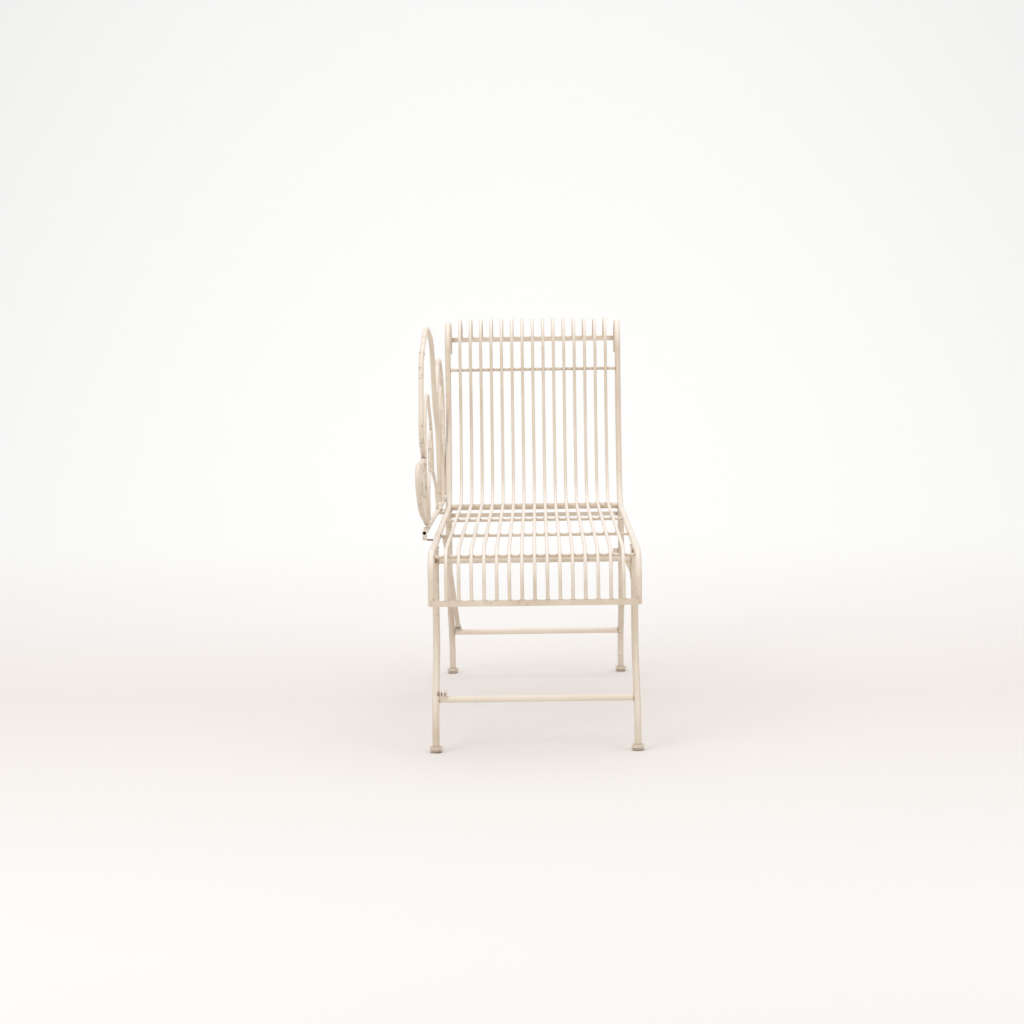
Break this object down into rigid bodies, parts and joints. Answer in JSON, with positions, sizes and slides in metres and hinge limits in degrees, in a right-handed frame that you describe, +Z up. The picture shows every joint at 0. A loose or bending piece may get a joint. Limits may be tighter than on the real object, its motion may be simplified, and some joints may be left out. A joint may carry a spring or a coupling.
{
  "type": "daybed",
  "caption": "Rod-seat metal daybed with a rolled upright head end, swept legs and a scrolled side panel; takes a thin mattress or cushions.",
  "frame": {"origin": "centre of the bounding box's underside, on the floor between the four feet", "axes": "+Z up; +Y along the seat towards the upright head end; +X across, so the scroll panel stands on the -X side"},
  "size_m": [0.502, 1.3758, 0.9458],
  "materials": {
    "frame_paint": "worn antique cream paint, satin",
    "panel_paint": "worn antique cream paint with brown patina, satin",
    "feet": "worn antique cream paint, satin",
    "hardware": "brown patina, satin"
  },
  "bodies": {
    "root": {"left_side_tube": "frame_paint", "right_side_tube": "frame_paint", "long_rod_01": "frame_paint", "long_rod_02": "frame_paint", "long_rod_03": "frame_paint", "long_rod_04": "frame_paint", "long_rod_05": "frame_paint", "long_rod_06": "frame_paint", "long_rod_07": "frame_paint", "long_rod_08": "frame_paint", "long_rod_09": "frame_paint", "long_rod_10": "frame_paint", "long_rod_11": "frame_paint", "long_rod_12": "frame_paint", "long_rod_13": "frame_paint", "long_rod_14": "frame_paint", "long_rod_15": "frame_paint", "foot_end_bar": "frame_paint", "foot_bend_bar": "frame_paint", "mid_seat_bar": "frame_paint", "rear_seat_bar": "frame_paint", "corner_bar": "frame_paint", "back_bar": "frame_paint", "head_end_bar": "frame_paint", "foot_left_leg": "frame_paint", "foot_right_leg": "frame_paint", "head_left_leg": "frame_paint", "head_right_leg": "frame_paint", "foot_left_foot_disc": "feet", "foot_right_foot_disc": "feet", "head_left_foot_disc": "feet", "head_right_foot_disc": "feet", "foot_stretcher": "frame_paint", "head_stretcher": "frame_paint", "foot_leg_rail": "frame_paint", "head_leg_rail": "frame_paint", "left_rail_strap": "frame_paint", "right_rail_strap": "frame_paint", "rail_gusset": "frame_paint", "leg_tab": "frame_paint", "leg_bolts": "hardware", "foot_lug": "frame_paint", "head_lug": "frame_paint", "lug_pins": "hardware", "brace": "frame_paint", "panel_rail": "panel_paint", "panel_volute": "panel_paint", "panel_leaf": "panel_paint", "panel_rear_leaf": "panel_paint", "panel_arch": "panel_paint", "panel_inner_loop": "panel_paint", "panel_low_scroll": "panel_paint", "panel_inner_curl": "panel_paint", "panel_rear_volute": "panel_paint", "panel_back_scroll": "panel_paint", "panel_lug": "panel_paint", "panel_lug_bolt": "hardware", "panel_strap": "panel_paint", "panel_rivets": "hardware"}
  },
  "joints": []
}
